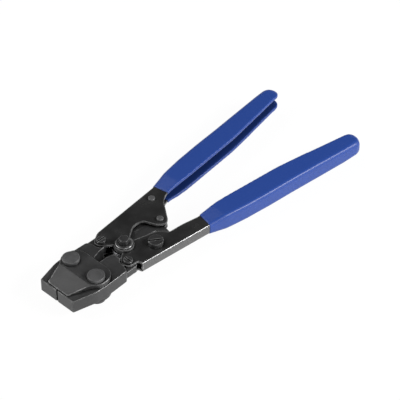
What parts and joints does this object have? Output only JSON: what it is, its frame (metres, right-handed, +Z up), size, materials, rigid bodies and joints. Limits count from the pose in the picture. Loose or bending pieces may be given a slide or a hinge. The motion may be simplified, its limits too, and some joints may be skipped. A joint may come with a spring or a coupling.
{
  "type": "pex cinch clamp tool",
  "caption": "Two-handled ratchet crimping tool: compound-lever jaws under bevelled link plates pinch clamp ears, with blue dipped grips and a release pawl.",
  "frame": {"origin": "centre of the footprint, on the ground under the jaw rivets' lower heads", "axes": "the jaws point along -Y, the handles along +Y, the slotted heads up along +Z, the release is on the +X handle"},
  "size_m": [0.0918, 0.264, 0.0223],
  "materials": {
    "black_plate": "satin black finish on pressed steel",
    "black_forged": "satin black finish on forged steel",
    "black_hardware": "black finish on screws, rivets, nuts and washers",
    "ratchet_steel": "black hardened steel",
    "spring_steel": "dark drawn wire",
    "blue_vinyl": "glossy dipped vinyl"
  },
  "bodies": {
    "head": {"link_plate_top": "black_forged", "link_plate_bottom": "black_forged", "jaw_rivets": "black_hardware"},
    "left_jaw": {"left_jaw": "black_forged"},
    "right_jaw": {"right_jaw": "black_forged"},
    "left_handle": {"left_handle_frame": "black_plate", "left_grip": "blue_vinyl", "ratchet_sector": "ratchet_steel", "sector_rivets": "black_hardware", "sector_spacers": "black_hardware", "left_tail_screw": "black_hardware", "left_tail_nut": "black_hardware", "pivot_bolt": "black_hardware", "pivot_nut": "black_hardware", "pivot_washers": "black_hardware", "pivot_sleeve": "black_hardware"},
    "right_handle": {"right_handle_frame": "black_plate", "right_grip": "blue_vinyl", "right_tail_screw": "black_hardware", "right_tail_nut": "black_hardware", "opening_spring": "spring_steel", "pawl_spring": "spring_steel"},
    "release": {"release_shaft": "black_hardware", "pawl": "ratchet_steel", "release_clip": "black_hardware"}
  },
  "joints": [
    {"name": "left_jaw_hinge", "type": "hinge", "parent": "head", "child": "left_jaw", "pos_m": [-0.01245, -0.1068, 0.01115], "axis": [0, 0, 1], "range_deg": [-10, 0]},
    {"name": "right_jaw_hinge", "type": "hinge", "parent": "head", "child": "right_jaw", "pos_m": [0.01245, -0.1068, 0.01115], "axis": [0, 0, 1], "range_deg": [0, 10]},
    {"name": "left_handle_hinge", "type": "hinge", "parent": "left_jaw", "child": "left_handle", "pos_m": [-0.0133, -0.0775, 0.01115], "axis": [0, 0, 1], "range_deg": [0, 35.7]},
    {"name": "right_handle_hinge", "type": "hinge", "parent": "right_jaw", "child": "right_handle", "pos_m": [0.0133, -0.0775, 0.01115], "axis": [0, 0, 1], "range_deg": [-35.7, 0]},
    {"name": "release_hinge", "type": "hinge", "parent": "right_handle", "child": "release", "pos_m": [0.0143, -0.0514, 0.01115], "axis": [0, 0, 1], "range_deg": [0, 25], "stiffness_Nm_per_rad": 0.05, "deforming": ["pawl_spring"]}
  ],
  "couplings": [
    {"joint": "right_handle_hinge", "follows": "left_handle_hinge", "ratio": -1},
    {"joint": "left_jaw_hinge", "follows": "left_handle_hinge", "ratio": -0.28011},
    {"joint": "right_jaw_hinge", "follows": "left_handle_hinge", "ratio": 0.28011}
  ]
}
